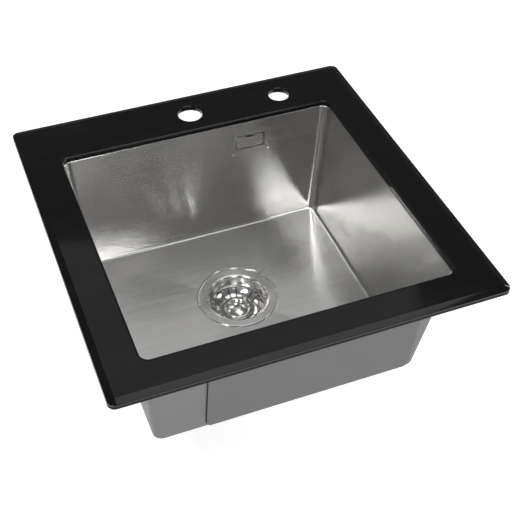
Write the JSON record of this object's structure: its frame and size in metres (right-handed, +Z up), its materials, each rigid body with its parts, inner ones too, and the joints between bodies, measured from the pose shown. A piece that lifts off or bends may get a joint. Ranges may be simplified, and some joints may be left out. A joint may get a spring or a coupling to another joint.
{
  "type": "kitchen sink",
  "caption": "Drop-in kitchen sink with a bevelled black glass top, a tapered brushed steel bowl, a basket strainer waste, an overflow with its hose, and fixing clips below the rim.",
  "frame": {"origin": "middle of the rim on the worktop's surface, which the underside of the seal rests on", "axes": "+X to the right along the front edge, +Y to the rear edge with the tap hole, +Z up out of the bowl"},
  "size_m": [0.5, 0.51, 0.294],
  "materials": {
    "black_glass": "polished, back-painted black",
    "sealant": "black silicone adhesive",
    "seal_rubber": "matt black rubber",
    "brushed_steel": "brushed stainless steel",
    "polished_steel": "polished stainless steel",
    "zinc_steel": "zinc-plated steel",
    "sound_pad": "matt grey damping sheet",
    "white_plastic": "moulded polypropylene",
    "hose_plastic": "corrugated polypropylene"
  },
  "bodies": {
    "sink": {"glass_top": "black_glass", "glass_bond": "sealant", "worktop_seal": "seal_rubber", "bowl": "brushed_steel", "sound_pad_front": "sound_pad", "sound_pad_base": "sound_pad", "flange_gasket": "seal_rubber", "strainer_flange": "brushed_steel", "lower_gasket": "seal_rubber", "waste_body": "white_plastic", "strainer_bolt": "zinc_steel", "strainer_bolt_nut": "zinc_steel", "overflow_gasket": "seal_rubber", "overflow_housing": "white_plastic", "overflow_carrier": "polished_steel", "overflow_screws": "zinc_steel", "overflow_hose": "hose_plastic", "hose_clamps": "zinc_steel", "clip_brackets": "zinc_steel"},
    "knob": {"basket_knob": "polished_steel", "basket_stem": "polished_steel"},
    "basket": {"basket_cup": "polished_steel", "basket_stopper": "polished_steel", "basket_seal": "seal_rubber"},
    "cover": {"overflow_cover": "brushed_steel"},
    "screw_1": {"clip_screw_1": "zinc_steel"},
    "nut_1": {"clip_nut_1": "zinc_steel"},
    "claw_1": {"clip_claw_1": "zinc_steel"},
    "screw_2": {"clip_screw_2": "zinc_steel"},
    "nut_2": {"clip_nut_2": "zinc_steel"},
    "claw_2": {"clip_claw_2": "zinc_steel"},
    "screw_3": {"clip_screw_3": "zinc_steel"},
    "nut_3": {"clip_nut_3": "zinc_steel"},
    "claw_3": {"clip_claw_3": "zinc_steel"},
    "screw_4": {"clip_screw_4": "zinc_steel"},
    "nut_4": {"clip_nut_4": "zinc_steel"},
    "claw_4": {"clip_claw_4": "zinc_steel"},
    "screw_5": {"clip_screw_5": "zinc_steel"},
    "nut_5": {"clip_nut_5": "zinc_steel"},
    "claw_5": {"clip_claw_5": "zinc_steel"},
    "screw_6": {"clip_screw_6": "zinc_steel"},
    "nut_6": {"clip_nut_6": "zinc_steel"},
    "claw_6": {"clip_claw_6": "zinc_steel"}
  },
  "joints": [
    {"name": "basket_lift", "type": "slide", "parent": "sink", "child": "knob", "axis": [0, 0, 1], "range_m": [0, 0.26]},
    {"name": "basket_turn", "type": "hinge", "parent": "knob", "child": "basket", "pos_m": [0, 0.0125, -0.207], "axis": [0, 0, 1], "continuous": true},
    {"name": "overflow_cover_pull", "type": "slide", "parent": "sink", "child": "cover", "axis": [0, -0.9941, 0.1083], "range_m": [0, 0.03]},
    {"name": "clip_screw_1_turn", "type": "hinge", "parent": "sink", "child": "screw_1", "pos_m": [-0.227, -0.1485, -0.03], "axis": [0, 0, 1], "range_deg": [0, 9000]},
    {"name": "clip_nut_1_climb", "type": "slide", "parent": "sink", "child": "nut_1", "axis": [0, 0, 1], "range_m": [0, 0.02]},
    {"name": "clip_claw_1_swing", "type": "hinge", "parent": "nut_1", "child": "claw_1", "pos_m": [-0.227, -0.1485, -0.03], "axis": [0, 0, -1], "range_deg": [0, 90]},
    {"name": "clip_screw_2_turn", "type": "hinge", "parent": "sink", "child": "screw_2", "pos_m": [-0.227, 0.1115, -0.03], "axis": [0, 0, 1], "range_deg": [0, 9000]},
    {"name": "clip_nut_2_climb", "type": "slide", "parent": "sink", "child": "nut_2", "axis": [0, 0, 1], "range_m": [0, 0.02]},
    {"name": "clip_claw_2_swing", "type": "hinge", "parent": "nut_2", "child": "claw_2", "pos_m": [-0.227, 0.1115, -0.03], "axis": [0, 0, -1], "range_deg": [0, 90]},
    {"name": "clip_screw_3_turn", "type": "hinge", "parent": "sink", "child": "screw_3", "pos_m": [0.227, -0.1485, -0.03], "axis": [0, 0, 1], "range_deg": [0, 9000]},
    {"name": "clip_nut_3_climb", "type": "slide", "parent": "sink", "child": "nut_3", "axis": [0, 0, 1], "range_m": [0, 0.02]},
    {"name": "clip_claw_3_swing", "type": "hinge", "parent": "nut_3", "child": "claw_3", "pos_m": [0.227, -0.1485, -0.03], "axis": [0, 0, -1], "range_deg": [0, 90]},
    {"name": "clip_screw_4_turn", "type": "hinge", "parent": "sink", "child": "screw_4", "pos_m": [0.227, 0.1115, -0.03], "axis": [0, 0, 1], "range_deg": [0, 9000]},
    {"name": "clip_nut_4_climb", "type": "slide", "parent": "sink", "child": "nut_4", "axis": [0, 0, 1], "range_m": [0, 0.02]},
    {"name": "clip_claw_4_swing", "type": "hinge", "parent": "nut_4", "child": "claw_4", "pos_m": [0.227, 0.1115, -0.03], "axis": [0, 0, -1], "range_deg": [0, 90]},
    {"name": "clip_screw_5_turn", "type": "hinge", "parent": "sink", "child": "screw_5", "pos_m": [-0.07, 0.232, -0.03], "axis": [0, 0, 1], "range_deg": [0, 9000]},
    {"name": "clip_nut_5_climb", "type": "slide", "parent": "sink", "child": "nut_5", "axis": [0, 0, 1], "range_m": [0, 0.02]},
    {"name": "clip_claw_5_swing", "type": "hinge", "parent": "nut_5", "child": "claw_5", "pos_m": [-0.07, 0.232, -0.03], "axis": [0, 0, -1], "range_deg": [0, 90]},
    {"name": "clip_screw_6_turn", "type": "hinge", "parent": "sink", "child": "screw_6", "pos_m": [0.07, 0.232, -0.03], "axis": [0, 0, 1], "range_deg": [0, 9000]},
    {"name": "clip_nut_6_climb", "type": "slide", "parent": "sink", "child": "nut_6", "axis": [0, 0, 1], "range_m": [0, 0.02]},
    {"name": "clip_claw_6_swing", "type": "hinge", "parent": "nut_6", "child": "claw_6", "pos_m": [0.07, 0.232, -0.03], "axis": [0, 0, -1], "range_deg": [0, 90]}
  ],
  "couplings": [
    {"joint": "clip_screw_1_turn", "follows": "clip_nut_1_climb", "rad_per_m": 7854},
    {"joint": "clip_screw_2_turn", "follows": "clip_nut_2_climb", "rad_per_m": 7854},
    {"joint": "clip_screw_3_turn", "follows": "clip_nut_3_climb", "rad_per_m": 7854},
    {"joint": "clip_screw_4_turn", "follows": "clip_nut_4_climb", "rad_per_m": 7854},
    {"joint": "clip_screw_5_turn", "follows": "clip_nut_5_climb", "rad_per_m": 7854},
    {"joint": "clip_screw_6_turn", "follows": "clip_nut_6_climb", "rad_per_m": 7854}
  ]
}
